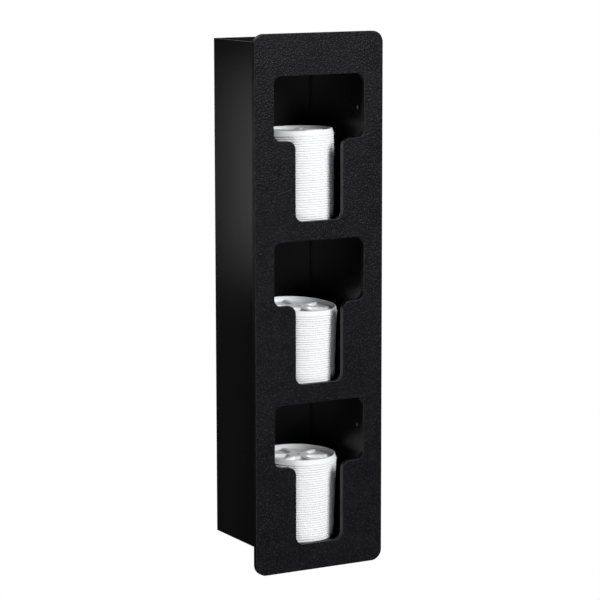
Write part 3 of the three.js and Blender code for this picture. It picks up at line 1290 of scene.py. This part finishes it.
@dataclass(frozen=True)
class LidStack:
    """The lids of one compartment, as they have settled on its floor."""

    level: Level
    lids: int
    turn: float
    stand_share: float
    creep_share: float
    slope_x: float
    slope_y: float
    floor_node: str
    setback: float = 8.8 * MM
    seat_gap: float = 0.3 * MM
    play: float = 0.09 * MM
    form: LidForm = LidForm()

    def settle(self, points: np.ndarray) -> np.ndarray:
        """Leans the stack as nested lids lean.

        The slope grows evenly from the floor to the top lid, so the stack's axis is a parabola and each
        point rises by its own place times the slope. The stack stands a little to the right of the
        middle and creeps further on the way up.

        Args:
            points: Points with the middle of the stack's foot at the origin, and (x, y, z) last.

        Returns:
            The points in the object's frame.
        """
        x, y, z = np.moveaxis(points, -1, 0)
        share = z / ((self.lids - 1) * self.form.pitch)
        aside = (self.stand_share + self.creep_share * share) * self.form.radius
        middle = self.setback + self.form.radius
        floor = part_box(self.floor_node)[1].z + self.seat_gap
        return np.stack(
            [
                x + aside - self.slope_x * share * z / 2,
                y - self.slope_y * share * z / 2 + middle,
                z + (x * self.slope_x + y * self.slope_y) * share + floor,
            ],
            axis=-1,
        )

    def turned(self, shell: np.ndarray, base: float) -> np.ndarray:
        """Returns a lid's skin turned as this stack's lids are, with its foot at a height.

        At the turn a, x becomes x cos a - y sin a, and y becomes x sin a + y cos a.

        Args:
            shell: Points by row, station and (x, y, z).
            base: The height of the foot.

        Returns:
            The turned points in the same order.
        """
        turn = math.radians(self.turn)
        x, y, z = np.moveaxis(shell, -1, 0)
        across = x * math.cos(turn) - y * math.sin(turn)
        return np.stack([across, x * math.sin(turn) + y * math.cos(turn), z + base], axis=-1)

    def add_lids(self, surface: Surface, shells: np.ndarray) -> None:
        """Adds closed skins to a surface.

        Quads join neighbouring rows. A fan of triangles round the mean of the first row closes the top,
        and one round the mean of the last row closes the underside.

        Args:
            surface: Where the skins go.
            shells: Points by lid, row, station and (x, y, z), in the object's frame.
        """
        lids, rows, stations, _ = shells.shape
        ring = np.arange(stations)
        following = np.roll(ring, -1)
        last = (rows - 1) * stations
        poles = np.array([rows * stations, rows * stations + 1])
        quads = ring_quads(rows, stations)[:, ::-1]
        top = np.stack([ring, following, np.full(stations, poles[0])], axis=1)
        bottom = np.stack([last + following, last + ring, np.full(stations, poles[1])], axis=1)
        centres = shells[:, [0, -1]].mean(axis=2)
        points = np.concatenate([shells.reshape(lids, -1, 3), centres], axis=1)
        starts = (np.arange(lids) * points.shape[1])[:, None, None]
        faces = [(part[None] + starts).reshape(-1, part.shape[1]) for part in (quads, top, bottom)]
        surface.add(points.reshape(-1, 3), faces)

    def build(self, finishes: Finishes) -> None:
        """Makes the nested lids as one piece and the top lid as another.

        Args:
            finishes: The dispenser's materials.
        """
        ribbed, plain = self.form.shell(ribbed=True), self.form.shell(ribbed=False)
        nested = self.lids - 1
        draw = np.random.default_rng(self.level.value)
        shift = draw.uniform(-self.play, self.play, (nested - 1, 1, 1, 2))
        bases = np.arange(nested - 1) * self.form.pitch
        hidden = plain[None] + bases[:, None, None, None] * np.array([0.0, 0.0, 1.0])
        hidden = hidden + np.concatenate([shift, np.zeros_like(shift[..., :1])], axis=-1)
        stack = Surface()
        self.add_lids(stack, self.settle(hidden))
        second = self.turned(ribbed, (nested - 1) * self.form.pitch)
        self.add_lids(stack, self.settle(second)[None])
        label = self.level.label
        piece = stack.to_object(f"{label}_nested_lids", [finishes.lid])
        settle_in(piece, f"{label}_stack", Slot.LID, f"{label}_lid_stack")
        loose = Surface()
        self.add_lids(loose, self.settle(self.turned(ribbed, nested * self.form.pitch))[None])
        piece = loose.to_object(f"{label}_loose_lid", [finishes.lid])
        settle_in(piece, f"{label}_lid", Slot.LID, f"{label}_top_lid")


STACKS = (
    LidStack(
        level=Level.LOWER,
        lids=34,
        turn=-30.0,
        stand_share=0.027,
        creep_share=0.068,
        slope_x=-0.01,
        slope_y=0.02,
        floor_node="bottom_panel",
    ),
    LidStack(
        level=Level.MIDDLE,
        lids=30,
        turn=-32.0,
        stand_share=0.073,
        creep_share=0.013,
        slope_x=-0.025,
        slope_y=0.06,
        floor_node="lower_shelf",
    ),
    LidStack(
        level=Level.UPPER,
        lids=36,
        turn=-8.0,
        stand_share=0.038,
        creep_share=0.021,
        slope_x=0.01,
        slope_y=-0.02,
        floor_node="upper_shelf",
    ),
)


@dataclass(frozen=True)
class Softbox:
    """A soft oval lamp that points at a place on the object."""

    name: str
    place: Place
    aim: Place
    width: float
    height: float
    power: float

    def build(self) -> None:
        """Hangs the lamp."""
        data = bpy.data.lights.new(self.name, "AREA")
        data.shape = "ELLIPSE"
        data.size, data.size_y = self.width, self.height
        data.energy = self.power
        lamp = bpy.data.objects.new(self.name, data)
        lamp.visible_camera = False
        lamp.location = self.place
        lamp.rotation_euler = (Vector(self.aim) - Vector(self.place)).to_track_quat("-Z", "Y").to_euler()
        bpy.context.scene.collection.objects.link(lamp)


@dataclass(frozen=True)
class SoftGlow:
    """A soft patch of light in the surround, around a direction, for all but the camera's own rays."""

    toward: Place
    inner_angle: float
    outer_angle: float
    strength: float

    def brightness(self, bench: NodeBench, ray: bpy.types.NodeSocket) -> bpy.types.NodeSocket:
        """Returns the strength along a ray: 0 outside the outer angle, and all of it inside the inner.

        The cosine of the ray's angle from the aim is mapped smoothly between the two angles' cosines.

        Args:
            bench: Where the nodes go.
            ray: The ray's direction.

        Returns:
            The strength.
        """
        aim = Vector(self.toward).normalized()
        near = bench.add("ShaderNodeVectorMath", operation="DOT_PRODUCT")
        bench.plug(near.inputs[0], ray)
        bench.plug(near.inputs[1], aim)
        low, high = (math.cos(math.radians(angle)) for angle in (self.outer_angle, self.inner_angle))
        return bench.ramp(near.outputs["Value"], low, high, 0.0, self.strength)


@dataclass(frozen=True)
class Studio:
    """A plain pale floor, a white surround, soft lamps and the camera."""

    floor_height: float = -0.36
    floor_half: float = 0.7
    floor_tone: float = 0.4
    dark_tone: float = 0.05
    floor_glow: float = 0.88
    surround: float = 0.015
    glow: SoftGlow = SoftGlow(
        toward=(-0.04, 0.86, 0.48),
        inner_angle=5.0,
        outer_angle=20.0,
        strength=2.4,
    )
    lamps: tuple[Softbox, ...] = (
        Softbox(
            name="key_softbox",
            place=(1.1, -3.2, 2.0),
            aim=(0.0, 0.05, 0.28),
            width=1.4,
            height=2.2,
            power=136.0,
        ),
        Softbox(
            name="fill_softbox",
            place=(-2.1, -3.3, -0.25),
            aim=(0.0, 0.05, 0.2),
            width=1.2,
            height=1.4,
            power=44.0,
        ),
        Softbox(
            name="back_left_softbox",
            place=(-0.284, 0.4, 0.385),
            aim=(-0.06, -0.01, 0.43),
            width=0.045,
            height=0.29,
            power=0.073,
        ),
        Softbox(
            name="back_edge_strip",
            place=(-0.181, 0.319, 0.22),
            aim=(-0.0635, 0.1, 0.26),
            width=0.03,
            height=0.8,
            power=0.007,
        ),
    )
    camera_place: Place = (-1.3905, -2.4521, 0.7285)
    sensor_width: float = 36.0
    yaw: float = 29.177
    pitch: float = 8.998
    roll: float = -0.088
    lens: float = 153.73

    def build_surround(self) -> None:
        """Makes the world: white to the camera, and for all other rays a dim room with a soft glow."""
        world = bpy.data.worlds.new("white_surround")
        bpy.context.scene.world = world
        world.use_nodes = True
        bench = NodeBench(world.node_tree)
        background = world.node_tree.nodes["Background"]
        background.inputs["Color"].default_value = WHITE
        ray = bench.add("ShaderNodeTexCoord").outputs["Generated"]
        room = bench.math("ADD", self.surround, self.glow.brightness(bench, ray))
        camera_ray = bench.add("ShaderNodeLightPath").outputs["Is Camera Ray"]
        bench.plug(background.inputs["Strength"], bench.math("MAXIMUM", room, camera_ray))

    def build_floor(self) -> None:
        """Makes the floor: white to the camera save for the object's shadow, and dim in its reflections."""
        material = bpy.data.materials.new("pale_floor")
        material.use_nodes = True
        nodes = material.node_tree.nodes
        bench = NodeBench(material.node_tree)
        nodes.remove(nodes["Principled BSDF"])
        camera_ray = bench.add("ShaderNodeLightPath").outputs["Is Camera Ray"]
        matt = bench.add("ShaderNodeBsdfDiffuse")
        tones = [(tone, tone, tone, 1.0) for tone in (self.dark_tone, self.floor_tone)]
        bench.plug(matt.inputs["Color"], bench.blend(camera_ray, *tones))
        glow = bench.add("ShaderNodeEmission")
        bench.plug(glow.inputs["Strength"], bench.math("MULTIPLY", camera_ray, self.floor_glow))
        both = bench.add("ShaderNodeAddShader")
        bench.plug(both.inputs[0], matt.outputs[0])
        bench.plug(both.inputs[1], glow.outputs[0])
        bench.plug(nodes["Material Output"].inputs["Surface"], both.outputs[0])
        half = self.floor_half
        corners = np.array([(-half, -half), (half, -half), (half, half), (-half, half)])
        points = np.column_stack([corners, np.full(4, self.floor_height)])
        surface = Surface()
        surface.add(points, [np.array([[0, 1, 2, 3]])])
        surface.to_object("floor", [material])

    def build_camera(self) -> None:
        """Sets the camera up as the photograph's was found to stand."""
        data = bpy.data.cameras.new("camera")
        data.sensor_width = self.sensor_width
        data.lens = self.lens
        camera = bpy.data.objects.new("camera", data)
        turned = Matrix.Rotation(-math.radians(self.yaw), 4, "Z")
        tilted = Matrix.Rotation(math.pi / 2 - math.radians(self.pitch), 4, "X")
        rolled = Matrix.Rotation(math.radians(self.roll), 4, "Z")
        camera.matrix_world = Matrix.Translation(self.camera_place) @ turned @ tilted @ rolled
        bpy.context.scene.collection.objects.link(camera)
        bpy.context.scene.camera = camera

    def build(self) -> None:
        """Makes the studio."""
        bpy.context.scene.view_settings.view_transform = "Standard"
        self.build_camera()
        self.build_surround()
        self.build_floor()
        for lamp in self.lamps:
            lamp.build()
        log.info("studio with %d lamps", len(self.lamps))


def main() -> None:
    """Builds the studio and the dispenser."""
    logging.basicConfig(level=logging.INFO, format="%(name)s: %(message)s")
    Studio().build()
    finishes = Finishes.build(Effects())
    housing = Housing()
    housing.build(finishes)
    Faceplate().build(housing, finishes)
    for stack in STACKS:
        stack.build(finishes)


if __name__ == "__main__":
    main()
